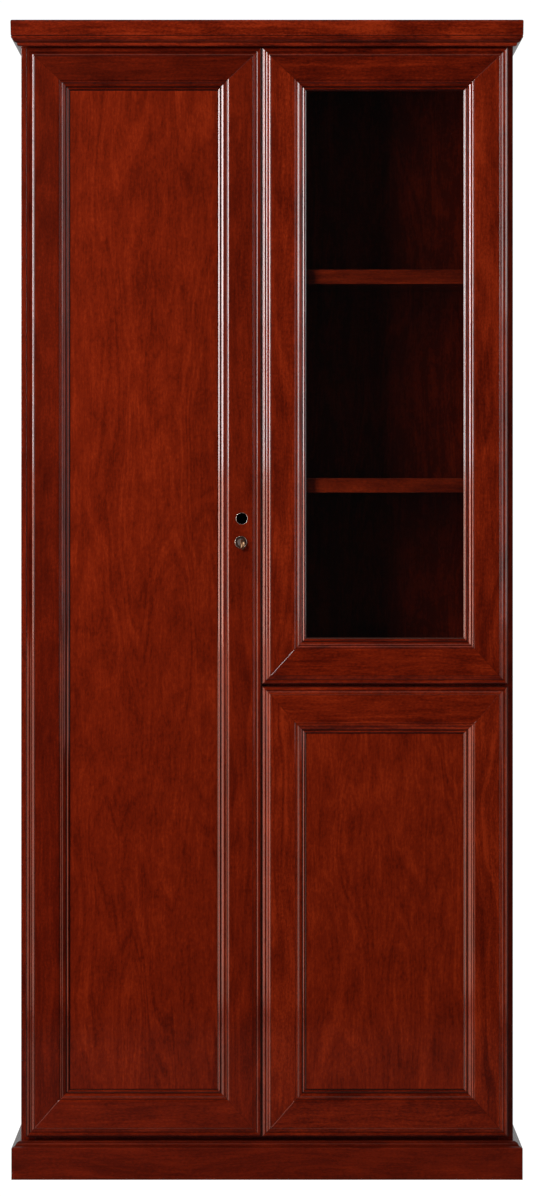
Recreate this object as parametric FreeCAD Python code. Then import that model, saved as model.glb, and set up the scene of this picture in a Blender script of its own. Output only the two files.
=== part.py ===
"""Tall cabinet: a full-height solid door on the left, a glazed door over a solid door on the right.

Frame: +Z up, the front faces -Y, +X is right as seen from the front, all in millimetres.
The origin is on the floor, at the centre of the footprint.
Every board, moulding, pane and piece of hardware is a solid of its own in parts/NODE.step.
"""

import FreeCAD
import Part
import math
import os
from FreeCAD import Vector

# Overall size, measured over the cornice
WIDTH = 884.6
DEPTH = 400.0
HEIGHT = 2000.0
FRONT = -DEPTH / 2
BACK = DEPTH / 2

# Cornice and plinth: how far they stand out past the door fronts and the carcass sides
CORNICE_OUT = 16.6
CORNICE_LOW = 1955.2
PLINTH_OUT = 15.0
PLINTH_TOP = 65.7

# Doors
DOOR_THICK = 22.0
DOOR_FRONT = FRONT + CORNICE_OUT
DOOR_BACK = DOOR_FRONT + DOOR_THICK
DOOR_GAP = 3.0
DOOR_BOTTOM = 72.4
DOOR_TOP = 1953.4
LEFT_DOOR_X = (-416.2, -9.8)
RIGHT_DOOR_X = (-8.6, 416.0)
LOWER_DOOR_TOP = 850.4
GLASS_DOOR_BOTTOM = 853.8
STILE = 76.0
TOP_RAIL = 74.0
GLASS_LOW_RAIL = 80.0
LOW_RAIL = 82.0
OUTER_MOULDING = 15.4
INNER_MOULDING = 21.5
GROOVE = 10.0
GROOVE_DEPTH = 10.0
PANEL_THICK = 8.0
PANE_THICK = 4.0
PLAY = 1.0

# Carcass boards
BOARD = 25.0
SIDE_OUT = WIDTH / 2 - CORNICE_OUT
SIDE_IN = SIDE_OUT - BOARD
CARCASS_FRONT = DOOR_BACK + DOOR_GAP
TOP_BOARD_LOW = HEIGHT - BOARD
BACK_PANEL = 8.0
BACK_PANEL_FRONT = 188.0
PARTITION_X = (-21.9, 3.1)
FLOOR_BOARD_TOP = PLINTH_TOP + BOARD
CEILING_LOW = CORNICE_LOW - BOARD
DECK_Z = 839.5

# Loose shelves: underside heights, and how far their front edges sit behind the carcass front
HIGH_SHELF_Z = 1547.0
LOW_SHELF_Z = 1185.0
CUPBOARD_SHELF_Z = 455.0
HAT_SHELF_Z = 1680.0
SHELF_SET_BACK = 19.4
HAT_SHELF_SET_BACK = 40.0
PIN_R = 2.5
PIN_IN = 10.0
PIN_OUT = 8.0
PIN_ROWS_Y = (-100.0, 140.0)
PIN_PITCH = 32.0

# Hanging rail
RAIL_Z = 1630.0
RAIL_Y = 16.0
RAIL_R = 12.5
RAIL_WALL = 1.2

# Concealed hinges: the pivot is inside the cup, near the door's outer edge
PIVOT_IN = 7.8
PIVOT_FORWARD = 9.5
CUP_EDGE = 3.2
CUP_R = 17.5
CUP_WALL = 0.8
CUP_DEPTH = 13.5
HINGE_PIN_R = 1.4
KNUCKLE_R = 2.6
ARM_HALF = 5.0
ARM_STEEL = 2.5
ARM_OFFSET = 12.6
ARM_LENGTH = 78.0
LEFT_HINGES_Z = (174.0, 660.0, 1340.0, 1850.0)
GLASS_HINGES_Z = (953.0, 1400.0, 1850.0)
LOWER_HINGES_Z = (174.0, 750.0)

# Finger hole and cam lock in the free stile of the left door
FINGER_X = -43.6
FINGER_Z = 1140.0
FINGER_R = 9.6
FINGER_RING = 0.8
LOCK_X = -45.0
LOCK_Z = 1099.0
BEZEL_R = 10.7
BEZEL_WALL = 1.0
BARREL_R = 9.0
PLUG_R = 6.0
BOW_DEEP = 12.5
BOW_TALL = 18.6
BOW_THICK = 3.0
BOW_WALL = 3.2
BOW_DROP = 4.0
BOW_TURN = 22.0
FIT = 0.05

# Magnetic touch latches for the two right doors
LATCH_Z = {"glass": 1904.0, "lower": 812.0}
LATCH_THICK = 14.0
LATCH_HEIGHT = 18.0
LATCH_Y = (-150.0, -90.0)
PLUNGER_R = 4.0
STRIKE_PLATE = 1.5

os.makedirs("parts", exist_ok=True)


def save(shape, node):
    shape.exportStep("parts/" + node + ".step")


def block(x, y, z):
    """A box between two limits along each axis."""
    return Part.makeBox(x[1] - x[0], y[1] - y[0], z[1] - z[0], Vector(x[0], y[0], z[0]))


def rod(radius, start, along):
    """A cylinder from a point, as long as the vector along."""
    along = Vector(*along)
    return Part.makeCylinder(radius, along.Length, Vector(*start), along)


def group(solids):
    return Part.makeCompound(solids)


def outline(path, place):
    """A closed face from a path of points; a triple (middle, end) entry is an arc through middle."""
    edges = []
    here = place(*path[0])
    for step in path[1:] + [path[0]]:
        if isinstance(step[0], tuple):
            middle, end = place(*step[0]), place(*step[1])
            edges.append(Part.Arc(here, middle, end).toShape())
        else:
            end = place(*step)
            edges.append(Part.LineSegment(here, end).toShape())
        here = end
    return Part.Face(Part.Wire(edges))


def prism_xz(points, y):
    """A prism along Y over a polygon drawn in X and Z."""
    loop = [Vector(px, y[0], pz) for px, pz in points]
    return Part.Face(Part.makePolygon(loop + loop[:1])).extrude(Vector(0, y[1] - y[0], 0))


def prism_xy(points, z):
    """A prism along Z over a polygon drawn in X and Y."""
    loop = [Vector(px, py, z[0]) for px, py in points]
    return Part.Face(Part.makePolygon(loop + loop[:1])).extrude(Vector(0, 0, z[1] - z[0]))


# ---------------------------------------------------------------- carcass

def pin_heights(shelf_z):
    """The pin that carries a shelf, and the spare holes above and below it."""
    centre = shelf_z - PIN_R
    return [centre + step * PIN_PITCH for step in (-1, 0, 1)]


def pin_holes(face_x, inward):
    """Blind holes for the shelf pins of the right-hand compartments, in one face."""
    holes = []
    for shelf_z in (HIGH_SHELF_Z, LOW_SHELF_Z, CUPBOARD_SHELF_Z):
        for z in pin_heights(shelf_z):
            for y in PIN_ROWS_Y:
                holes.append(rod(PIN_R, (face_x, y, z), (inward * PIN_IN, 0, 0)))
    return holes


def carcass():
    depth = (CARCASS_FRONT, BACK)
    inside = (CARCASS_FRONT, BACK_PANEL_FRONT)
    left = block((-SIDE_OUT, -SIDE_IN), depth, (0, TOP_BOARD_LOW))
    save(left, "side_panel_left")
    right = block((SIDE_IN, SIDE_OUT), depth, (0, TOP_BOARD_LOW))
    save(right.cut(pin_holes(SIDE_IN, 1)), "side_panel_right")
    partition = block(PARTITION_X, inside, (FLOOR_BOARD_TOP, CEILING_LOW))
    save(partition.cut(pin_holes(PARTITION_X[1], -1)), "centre_partition")
    save(block((-SIDE_IN, SIDE_IN), inside, (PLINTH_TOP, FLOOR_BOARD_TOP)), "floor_board")
    save(block((-SIDE_IN, SIDE_IN), inside, (CEILING_LOW, CORNICE_LOW)), "ceiling_board")
    save(block((PARTITION_X[1], SIDE_IN), inside, (DECK_Z, DECK_Z + BOARD)), "middle_deck")
    save(block((-SIDE_OUT, SIDE_OUT), (DOOR_FRONT, BACK), (TOP_BOARD_LOW, HEIGHT)), "top_board")
    middle = (PARTITION_X[0] + PARTITION_X[1]) / 2
    panel_y = (BACK_PANEL_FRONT, BACK_PANEL_FRONT + BACK_PANEL)
    panel_z = (PLINTH_TOP, TOP_BOARD_LOW)
    save(block((-SIDE_IN, middle), panel_y, panel_z), "back_panel_left")
    save(block((middle, SIDE_IN), panel_y, panel_z), "back_panel_right")


def shelves():
    front = CARCASS_FRONT + SHELF_SET_BACK
    right_x = (PARTITION_X[1] + PLAY, SIDE_IN - PLAY)
    deep = (front, BACK_PANEL_FRONT - PLAY)
    heights = {"shelf_high": HIGH_SHELF_Z, "shelf_low": LOW_SHELF_Z, "shelf_cupboard": CUPBOARD_SHELF_Z}
    for node, z in heights.items():
        save(block(right_x, deep, (z, z + BOARD)), node)
    hat_y = (CARCASS_FRONT + HAT_SHELF_SET_BACK, BACK_PANEL_FRONT)
    hat = block((-SIDE_IN, PARTITION_X[0]), hat_y, (HAT_SHELF_Z, HAT_SHELF_Z + BOARD))
    save(hat, "shelf_hat")
    pins = []
    for z in heights.values():
        for y in PIN_ROWS_Y:
            for face, inward in ((PARTITION_X[1], 1), (SIDE_IN, -1)):
                start = (face - inward * PIN_IN, y, z - PIN_R)
                pins.append(rod(PIN_R, start, (inward * (PIN_IN + PIN_OUT), 0, 0)))
    save(group(pins), "shelf_pins")


def hanging_rail():
    ends = (-SIDE_IN + 2, PARTITION_X[0] - 2)
    length = ends[1] - ends[0]
    tube = rod(RAIL_R, (ends[0], RAIL_Y, RAIL_Z), (length, 0, 0))
    tube = tube.cut(rod(RAIL_R - RAIL_WALL, (ends[0], RAIL_Y, RAIL_Z), (length, 0, 0)))
    save(tube, "hanging_rail")
    sockets = []
    for face, inward in ((-SIDE_IN, 1), (PARTITION_X[0], -1)):
        centre = (face, RAIL_Y, RAIL_Z)
        flange = rod(22, centre, (inward * 2, 0, 0))
        collar = rod(RAIL_R + 3, centre, (inward * 14, 0, 0))
        bore = rod(RAIL_R + FIT, (face + inward * 2, RAIL_Y, RAIL_Z), (inward * 20, 0, 0))
        sockets.append(flange.fuse(collar).cut(bore))
    save(group(sockets), "rail_sockets")


# ---------------------------------------------------------------- cornice and plinth

CORNICE_SECTION = [
    (0, CORNICE_LOW),
    (3.0, CORNICE_LOW),
    ((5.4, CORNICE_LOW + 1.6), (5.9, CORNICE_LOW + 4.4)),
    (6.0, CORNICE_LOW + 5.4),
    (6.7, CORNICE_LOW + 5.8),
    ((11.2, CORNICE_LOW + 8.2), (13.3, CORNICE_LOW + 12.9)),
    (13.9, CORNICE_LOW + 13.3),
    ((15.8, CORNICE_LOW + 15.2), (14.7, CORNICE_LOW + 17.4)),
    (16.0, CORNICE_LOW + 18.3),
    (CORNICE_OUT, HEIGHT - 3.0),
    ((CORNICE_OUT - 0.7, HEIGHT - 0.8), (CORNICE_OUT - 2.8, HEIGHT)),
    (0, HEIGHT),
]

PLINTH_SECTION = [
    (0, 0),
    (PLINTH_OUT, 0),
    (PLINTH_OUT, 54.0),
    (14.1, 54.8),
    (13.8, 55.6),
    ((10.4, 57.2), (7.8, 60.0)),
    ((6.2, 62.8), (2.8, PLINTH_TOP - 0.8)),
    (2.2, PLINTH_TOP),
    (0, PLINTH_TOP),
]


def moulding_set(name, section, z):
    """A front length and two side lengths of one section, mitred where they meet."""
    reach = 30.0
    cut_z = (z[0] - 1, z[1] + 1)
    corner = (SIDE_OUT, DOOR_FRONT)
    wide = SIDE_OUT + reach

    front = outline(section, lambda out, up: Vector(-wide, DOOR_FRONT - out, up))
    front = front.extrude(Vector(2 * wide, 0, 0))
    outer = (corner[0] + reach, corner[1] - reach)
    kept = [(-corner[0], corner[1]), (-outer[0], outer[1]), outer, corner]
    save(front.common(prism_xy(kept, cut_z)), name + "_front")

    for side, label in ((-1, "left"), (1, "right")):
        def place(out, up, side=side):
            return Vector(side * (SIDE_OUT + out), DOOR_FRONT - reach, up)
        length = outline(section, place).extrude(Vector(0, BACK - DOOR_FRONT + reach, 0))
        kept = [
            (side * corner[0], corner[1]),
            (side * outer[0], outer[1]),
            (side * outer[0], BACK),
            (side * corner[0], BACK),
        ]
        save(length.common(prism_xy(kept, cut_z)), name + "_" + label)


def cornice_and_plinth():
    moulding_set("cornice", CORNICE_SECTION, (CORNICE_LOW, HEIGHT))
    moulding_set("plinth", PLINTH_SECTION, (0, PLINTH_TOP))
    across = (-SIDE_OUT, SIDE_OUT)
    behind = (DOOR_FRONT, CARCASS_FRONT)
    save(block(across, behind, (CORNICE_LOW, TOP_BOARD_LOW)), "cornice_backing")
    save(block(across, behind, (0, PLINTH_TOP)), "plinth_backing")
    rail_y = (BACK_PANEL_FRONT - BOARD, BACK_PANEL_FRONT)
    save(block((-SIDE_IN, SIDE_IN), rail_y, (0, PLINTH_TOP)), "plinth_back_rail")


# ---------------------------------------------------------------- doors

def member_section(width, glazed):
    """Section of a door frame member: u runs in from the door's edge, d back from its front.

    Three reeds along the outer edge, a quirk, the flat, then a stepped ogee down to the panel.
    """
    e = width
    path = [
        (0, DOOR_THICK),
        (0, 3.4),
        ((0.2, 2.6), (0.8, 2.3)),
        (1.5, 2.3),
        (4.4, 1.4),
        ((6.0, 1.55), (7.5, 1.8)),
        (10.5, 0.8),
        ((12.5, 0.6), (14.2, 0.1)),
        (14.9, 0.5),
        (OUTER_MOULDING, 0),
        (e - INNER_MOULDING, 0),
        ((e - 20.0, 0.12), (e - 18.2, 0.5)),
        (e - 17.7, 0.9),
        (e - 16.5, 0.3),
        (e - 15.8, 0.3),
        (e - 13.5, 1.2),
        (e - 12.9, 1.0),
        ((e - 11.0, 1.85), (e - 8.4, 2.6)),
        (e - 7.2, 2.8),
        (e - 5.2, 5.2),
        (e - 3.9, 4.8),
        (e - 1.2, 5.5),
        (e - 0.7, 6.4),
        (e - 0.7, 9.3),
        (e, GROOVE_DEPTH - 0.2),
        (e, GROOVE_DEPTH),
        (e - GROOVE, GROOVE_DEPTH),
    ]
    if glazed:
        return path + [(width - GROOVE, DOOR_THICK)]
    back_lip = GROOVE_DEPTH + PANEL_THICK
    return path + [(width - GROOVE, back_lip), (width, back_lip), (width, DOOR_THICK)]


def mitre_line(rail):
    """Where a stile meets a rail, from the outer corner in: (u across the stile, v up the rail)."""
    return [
        (0, 0),
        (OUTER_MOULDING, OUTER_MOULDING),
        (STILE - INNER_MOULDING, rail - INNER_MOULDING),
        (STILE, rail),
    ]


def door_frame(prefix, x, z, rails, glazed, hinge_right):
    """The four mitred members, by name. rails are the bottom and the top rail's widths."""
    low_rail, top_rail = rails
    tall, wide = z[1] - z[0], x[1] - x[0]
    reach = (DOOR_FRONT - 1, DOOR_BACK + 1)
    low = mitre_line(low_rail)
    top = mitre_line(top_rail)

    left_cut = [(x[0] + u, z[0] + v) for u, v in low] + [(x[0] + u, z[1] - v) for u, v in reversed(top)]
    right_cut = [(x[1] - u, z[0] + v) for u, v in low] + [(x[1] - u, z[1] - v) for u, v in reversed(top)]
    low_cut = [(x[0] + u, z[0] + v) for u, v in low] + [(x[1] - u, z[0] + v) for u, v in reversed(low)]
    top_cut = [(x[0] + u, z[1] - v) for u, v in top] + [(x[1] - u, z[1] - v) for u, v in reversed(top)]

    upright = member_section(STILE, glazed)
    left = outline(upright, lambda u, d: Vector(x[0] + u, DOOR_FRONT + d, z[0]))
    left = left.extrude(Vector(0, 0, tall)).common(prism_xz(left_cut, reach))
    right = outline(upright, lambda u, d: Vector(x[1] - u, DOOR_FRONT + d, z[0]))
    right = right.extrude(Vector(0, 0, tall)).common(prism_xz(right_cut, reach))
    bottom = outline(member_section(low_rail, glazed), lambda u, d: Vector(x[0], DOOR_FRONT + d, z[0] + u))
    bottom = bottom.extrude(Vector(wide, 0, 0)).common(prism_xz(low_cut, reach))
    head = outline(member_section(top_rail, glazed), lambda u, d: Vector(x[0], DOOR_FRONT + d, z[1] - u))
    head = head.extrude(Vector(wide, 0, 0)).common(prism_xz(top_cut, reach))

    hinged, free = (right, left) if hinge_right else (left, right)
    return {
        prefix + "_hinge_stile": hinged,
        prefix + "_free_stile": free,
        prefix + "_bottom_rail": bottom,
        prefix + "_top_rail": head,
    }


def panel_edges(x, z, rails, inset):
    """Limits of what sits in the frame's groove, inset from the members' inner edges."""
    return (
        (x[0] + STILE - inset, x[1] - STILE + inset),
        (z[0] + rails[0] - inset, z[1] - rails[1] + inset),
    )


def door_panel(x, z, rails, thickness):
    px, pz = panel_edges(x, z, rails, GROOVE - PLAY)
    front = DOOR_FRONT + GROOVE_DEPTH
    return block(px, (front, front + thickness), pz)


def glazing_beads(x, z, rails):
    """Four mitred strips that hold the pane from behind."""
    outer_x, outer_z = panel_edges(x, z, rails, GROOVE)
    inner_x, inner_z = panel_edges(x, z, rails, 0)
    y = (DOOR_FRONT + GROOVE_DEPTH + PANE_THICK, DOOR_BACK)
    corners_out = [(outer_x[i], outer_z[j]) for i, j in ((0, 0), (1, 0), (1, 1), (0, 1))]
    corners_in = [(inner_x[i], inner_z[j]) for i, j in ((0, 0), (1, 0), (1, 1), (0, 1))]
    strips = []
    for i in range(4):
        k = (i + 1) % 4
        strips.append(prism_xz([corners_out[i], corners_out[k], corners_in[k], corners_in[i]], y))
    return group(strips)


# ---------------------------------------------------------------- concealed hinges

def pivot_x(edge, inward):
    return edge + inward * PIVOT_IN


def hinge_cup(edge, inward, z):
    """Steel cup let into the stile's back, its flange, and the pin across it."""
    centre_x = edge + inward * (CUP_EDGE + CUP_R)
    pivot = (pivot_x(edge, inward), DOOR_BACK - PIVOT_FORWARD)
    cup = rod(CUP_R, (centre_x, DOOR_BACK, z), (0, -CUP_DEPTH, 0))
    flange_x = sorted((centre_x + inward * 2, centre_x + inward * 18))
    flange = block(flange_x, (DOOR_BACK, DOOR_BACK + 1), (z - 29, z + 29))
    rim = rod(CUP_R + 1.2, (centre_x, DOOR_BACK, z), (0, 1, 0))
    edge_trim = block(
        sorted((edge - inward * 5, edge + inward * 1)), (DOOR_BACK - 1, DOOR_BACK + 2), (z - 30, z + 30)
    )
    hollow = rod(CUP_R - CUP_WALL, (centre_x, DOOR_BACK + 2, z), (0, -CUP_DEPTH + CUP_WALL - 2, 0))
    pin = rod(HINGE_PIN_R, (pivot[0], pivot[1], z - 9.5), (0, 0, 19))
    shell = cup.fuse([flange, rim]).cut(edge_trim).cut(hollow)
    screws = []
    for step in (-24, 24):
        screws.append(rod(3.4, (centre_x + inward * 10, DOOR_BACK + 1, z + step), (0, 1, 0)))
    return shell.fuse([pin] + screws)


def cup_recess(edge, inward, z):
    """What the cup takes out of the stile."""
    centre_x = edge + inward * (CUP_EDGE + CUP_R)
    return rod(CUP_R, (centre_x, DOOR_BACK, z), (0, -CUP_DEPTH, 0))


def hinge_arm(edge, inward, z):
    """Cranked arm: an eye round the pin, out along the cup, then back along the side panel."""
    px = pivot_x(edge, inward)
    py = DOOR_BACK - PIVOT_FORWARD
    half = ARM_STEEL / 2
    outer = ARM_OFFSET + ARM_STEEL
    eye = rod(KNUCKLE_R, (px, py, z - ARM_HALF), (0, 0, 2 * ARM_HALF))
    crank_x = sorted((px, px + inward * outer))
    crank = block(crank_x, (py - half, py + half), (z - ARM_HALF, z + ARM_HALF))
    leg_x = sorted((px + inward * ARM_OFFSET, px + inward * outer))
    inside = CARCASS_FRONT + 6
    leg = block(leg_x, (py - half, inside), (z - ARM_HALF, z + ARM_HALF))
    body = block(leg_x, (inside, py + ARM_LENGTH), (z - 8, z + 8))
    pin_hole = rod(HINGE_PIN_R + FIT, (px, py, z - ARM_HALF - 1), (0, 0, 2 * ARM_HALF + 2))
    return eye.fuse([crank, leg, body]).cut(pin_hole).removeSplitter()


def hinge_plate(edge, inward, z):
    """Mounting plate between the side panel and the arm."""
    px = pivot_x(edge, inward)
    face = -inward * SIDE_IN
    under_arm = px + inward * ARM_OFFSET
    spine = block(sorted((face, under_arm)), (CARCASS_FRONT + 12, CARCASS_FRONT + 62), (z - 7, z + 7))
    wings_y = (CARCASS_FRONT + 30, CARCASS_FRONT + 44)
    wings = block(sorted((face, face + inward * 2)), wings_y, (z - 26, z + 26))
    return spine.fuse(wings).removeSplitter()


def hinge_screws(inward, z):
    """Two screws, with their heads on the plate's wings."""
    face = -inward * SIDE_IN
    screws = []
    for step in (-16, 16):
        centre = (face + inward * 2, CARCASS_FRONT + 37, z + step)
        screws.append(rod(4.2, centre, (inward * 1.6, 0, 0)))
    return screws


# ---------------------------------------------------------------- lock, finger hole, latches

def lock_pieces():
    y_face = DOOR_FRONT
    at = (LOCK_X, y_face, LOCK_Z)
    tail = DOOR_BACK + 6

    recess = rod(BEZEL_R - BEZEL_WALL, (LOCK_X, y_face - 0.8, LOCK_Z), (0, -5, 0))
    flange = rod(BEZEL_R, at, (0, -2.2, 0)).cut(recess)
    barrel = rod(BARREL_R, at, (0, tail - y_face, 0))
    bore = rod(PLUG_R + FIT, (LOCK_X, y_face - 5, LOCK_Z), (0, 60, 0))
    save(flange.fuse(barrel).cut(bore), "lock_housing")

    nut_points = []
    for i in range(6):
        angle = math.radians(60 * i + 30)
        nut_points.append((LOCK_X + 13 * math.cos(angle), LOCK_Z + 13 * math.sin(angle)))
    nut = prism_xz(nut_points, (DOOR_BACK, DOOR_BACK + 4)).cut(rod(BARREL_R, at, (0, 60, 0)))
    save(nut, "lock_nut")

    cam_y = tail + 0.5
    plug = rod(PLUG_R, (LOCK_X, y_face - 1.2, LOCK_Z), (0, cam_y - y_face + 1.2, 0))
    keyway = block((LOCK_X - 1.1, LOCK_X + 1.1), (y_face - 3, y_face + 22), (LOCK_Z - 3.6, LOCK_Z + 3.6))
    save(plug.cut(keyway), "lock_plug")

    cam_tip = 20.0
    arm = block((LOCK_X - 6, LOCK_X + 6), (cam_y, cam_y + 2.5), (LOCK_Z - cam_tip + 6, LOCK_Z))
    ends = [
        rod(8, (LOCK_X, cam_y, LOCK_Z), (0, 2.5, 0)),
        rod(6, (LOCK_X, cam_y, LOCK_Z - cam_tip + 6), (0, 2.5, 0)),
    ]
    save(arm.fuse(ends).removeSplitter(), "lock_cam")
    save(rod(4.2, (LOCK_X, cam_y + 2.5, LOCK_Z), (0, 2.4, 0)), "lock_cam_screw")

    # An angle bracket on the partition; the turned cam goes behind its flange
    flange_y = (cam_y - 3, cam_y - 1.5)
    strike_z = (LOCK_Z - 25, LOCK_Z + 25)
    plate = block((PARTITION_X[0] - 1.5, PARTITION_X[0]), (flange_y[0], cam_y + 26), strike_z)
    lip = block((PARTITION_X[0] - 8.5, PARTITION_X[0]), flange_y, strike_z)
    save(plate.fuse(lip).removeSplitter(), "lock_strike")


def key():
    """Blade in the plug, neck, and an oval bow that hangs low and is bent a little to the right."""
    face = DOOR_FRONT - 1.2
    neck_y = face - 2.4
    blade = block((LOCK_X - 0.9, LOCK_X + 0.9), (neck_y - 2.6, face + 22), (LOCK_Z - 3.3, LOCK_Z + 3.3))
    centre = Vector(LOCK_X - BOW_THICK / 2, neck_y - BOW_DEEP / 2, LOCK_Z - BOW_DROP)

    def oval(inset):
        """The bow's outline in the YZ plane, as far inside its outer edge as inset."""
        tip = centre + Vector(0, 0, BOW_TALL / 2 - inset)
        side = centre + Vector(0, BOW_DEEP / 2 - inset, 0)
        return Part.Face(Part.Wire(Part.Ellipse(tip, side, centre).toShape()))

    bow = oval(0).cut(oval(BOW_WALL)).extrude(Vector(BOW_THICK, 0, 0))
    bow = bow.rotate(Vector(LOCK_X, neck_y, LOCK_Z), Vector(0, 0, 1), BOW_TURN)
    save(blade.fuse(bow).removeSplitter(), "key")


def finger_ring():
    hole = FINGER_R + FINGER_RING
    ring = rod(hole, (FINGER_X, DOOR_FRONT - 0.4, FINGER_Z), (0, DOOR_THICK + 0.4, 0))
    ring = ring.cut(rod(FINGER_R, (FINGER_X, DOOR_FRONT - 2, FINGER_Z), (0, DOOR_THICK + 4, 0)))
    save(ring, "finger_ring")


def touch_latches():
    """Housings on the partition, and the sprung magnetic plungers in them."""
    face = PARTITION_X[1]
    axis_x = face + LATCH_THICK / 2
    tip_y = DOOR_BACK + STRIKE_PLATE + 0.3
    housings = []
    for label, z in LATCH_Z.items():
        shell = block((face, face + LATCH_THICK), LATCH_Y, (z - LATCH_HEIGHT / 2, z + LATCH_HEIGHT / 2))
        bore = rod(PLUNGER_R + 0.1, (axis_x, LATCH_Y[0] - 1, z), (0, 45, 0))
        housings.append(shell.cut(bore))
        save(rod(PLUNGER_R, (axis_x, tip_y, z), (0, 40, 0)), label + "_latch_plunger")
        save(rod(9, (axis_x, DOOR_BACK, z), (0, STRIKE_PLATE, 0)), label + "_strike_plate")
    save(group(housings), "latch_housings")


# ---------------------------------------------------------------- assembly

def build_doors():
    rods_through_stile = [
        rod(FINGER_R + FINGER_RING, (FINGER_X, DOOR_FRONT - 5, FINGER_Z), (0, 60, 0)),
        rod(BARREL_R, (LOCK_X, DOOR_FRONT - 5, LOCK_Z), (0, 60, 0)),
    ]
    doors = (
        ("left_door", LEFT_DOOR_X, (DOOR_BOTTOM, DOOR_TOP), (LOW_RAIL, TOP_RAIL), False, False,
         LEFT_HINGES_Z),
        ("glass_door", RIGHT_DOOR_X, (GLASS_DOOR_BOTTOM, DOOR_TOP), (GLASS_LOW_RAIL, TOP_RAIL), True, True,
         GLASS_HINGES_Z),
        ("lower_door", RIGHT_DOOR_X, (DOOR_BOTTOM, LOWER_DOOR_TOP), (LOW_RAIL, LOW_RAIL), False, True,
         LOWER_HINGES_Z),
    )
    arms, plates, screws = [], [], []
    for name, x, z, rails, glazed, hinge_right, hinge_heights in doors:
        edge, inward = (x[1], -1) if hinge_right else (x[0], 1)
        for node, member in door_frame(name, x, z, rails, glazed, hinge_right).items():
            if node.endswith("hinge_stile"):
                member = member.cut([cup_recess(edge, inward, h) for h in hinge_heights])
            if node == "left_door_free_stile":
                member = member.cut(rods_through_stile)
            save(member, node)
        if glazed:
            save(door_panel(x, z, rails, PANE_THICK), name + "_pane")
            save(glazing_beads(x, z, rails), name + "_beads")
        else:
            save(door_panel(x, z, rails, PANEL_THICK), name + "_panel")
        save(group([hinge_cup(edge, inward, h) for h in hinge_heights]), name + "_hinge_cups")
        for h in hinge_heights:
            arms.append(hinge_arm(edge, inward, h))
            plates.append(hinge_plate(edge, inward, h))
            screws.extend(hinge_screws(inward, h))
    save(group(arms), "hinge_arms")
    save(group(plates), "hinge_plates")
    save(group(screws), "hinge_screws")


carcass()
shelves()
hanging_rail()
cornice_and_plinth()
build_doors()
lock_pieces()
key()
finger_ring()
touch_latches()
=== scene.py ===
"""Looks for the tall cabinet: lacquered mahogany, moulded frames, clear glass, nickel and brass.

Everything is in metres in the CAD's frame: +Z up, the front faces -Y, +X is right.
Moulded lengths are swept here with finer sections than the CAD's and replace its nodes.
Flat boards, panes and hardware are the CAD's own nodes, with bevels and materials added.
"""

import bpy
import bmesh
import math
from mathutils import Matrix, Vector


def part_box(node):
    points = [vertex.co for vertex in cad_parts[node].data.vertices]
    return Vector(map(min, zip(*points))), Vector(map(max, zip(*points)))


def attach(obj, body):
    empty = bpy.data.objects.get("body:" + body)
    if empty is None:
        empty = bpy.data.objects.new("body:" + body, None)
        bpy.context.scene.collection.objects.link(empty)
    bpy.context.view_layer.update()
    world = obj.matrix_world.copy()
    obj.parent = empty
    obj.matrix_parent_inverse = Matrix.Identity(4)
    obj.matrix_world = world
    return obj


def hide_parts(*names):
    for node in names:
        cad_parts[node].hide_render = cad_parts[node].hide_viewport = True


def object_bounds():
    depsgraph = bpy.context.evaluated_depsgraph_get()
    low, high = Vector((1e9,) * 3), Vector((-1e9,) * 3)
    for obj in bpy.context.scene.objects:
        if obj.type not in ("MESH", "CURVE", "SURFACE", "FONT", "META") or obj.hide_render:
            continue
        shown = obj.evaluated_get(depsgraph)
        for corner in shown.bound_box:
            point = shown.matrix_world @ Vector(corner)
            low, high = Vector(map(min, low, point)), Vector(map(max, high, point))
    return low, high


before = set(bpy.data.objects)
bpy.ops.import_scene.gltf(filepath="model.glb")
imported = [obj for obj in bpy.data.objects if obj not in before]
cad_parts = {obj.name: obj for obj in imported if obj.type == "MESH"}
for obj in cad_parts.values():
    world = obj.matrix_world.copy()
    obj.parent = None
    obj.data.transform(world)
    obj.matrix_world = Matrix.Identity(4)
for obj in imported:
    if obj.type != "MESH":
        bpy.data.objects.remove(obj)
cad_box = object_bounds()

MM = 0.001
DOORS = ("left_door", "glass_door", "lower_door")


# ---------------------------------------------------------------- node helpers

def new_material(name):
    material = bpy.data.materials.new(name)
    material.use_nodes = True
    tree = material.node_tree
    return material, tree, tree.nodes["Principled BSDF"]


def node(tree, kind, **values):
    """A node with its properties set, and its inputs by name with __ for a space."""
    made = tree.nodes.new(kind)
    for key, value in values.items():
        if hasattr(made, key):
            setattr(made, key, value)
        else:
            made.inputs[key.replace("__", " ")].default_value = value
    return made


def link(tree, source, target):
    tree.links.new(source, target)


def math_node(tree, operation, a, b=None, clamp=False):
    made = tree.nodes.new("ShaderNodeMath")
    made.operation = operation
    made.use_clamp = clamp
    for i, value in enumerate((a, b)):
        if value is None:
            continue
        if isinstance(value, (int, float)):
            made.inputs[i].default_value = value
        else:
            link(tree, value, made.inputs[i])
    return made.outputs[0]


def noise(tree, x, y, z, detail=2.0, roughness=0.5):
    """Noise at a point whose three coordinates are sockets or numbers."""
    point = tree.nodes.new("ShaderNodeCombineXYZ")
    for i, value in enumerate((x, y, z)):
        if isinstance(value, (int, float)):
            point.inputs[i].default_value = value
        else:
            link(tree, value, point.inputs[i])
    made = node(tree, "ShaderNodeTexNoise", Scale=1.0, Detail=detail, Roughness=roughness)
    link(tree, point.outputs[0], made.inputs["Vector"])
    return made.outputs["Fac"]


# ---------------------------------------------------------------- wood

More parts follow.
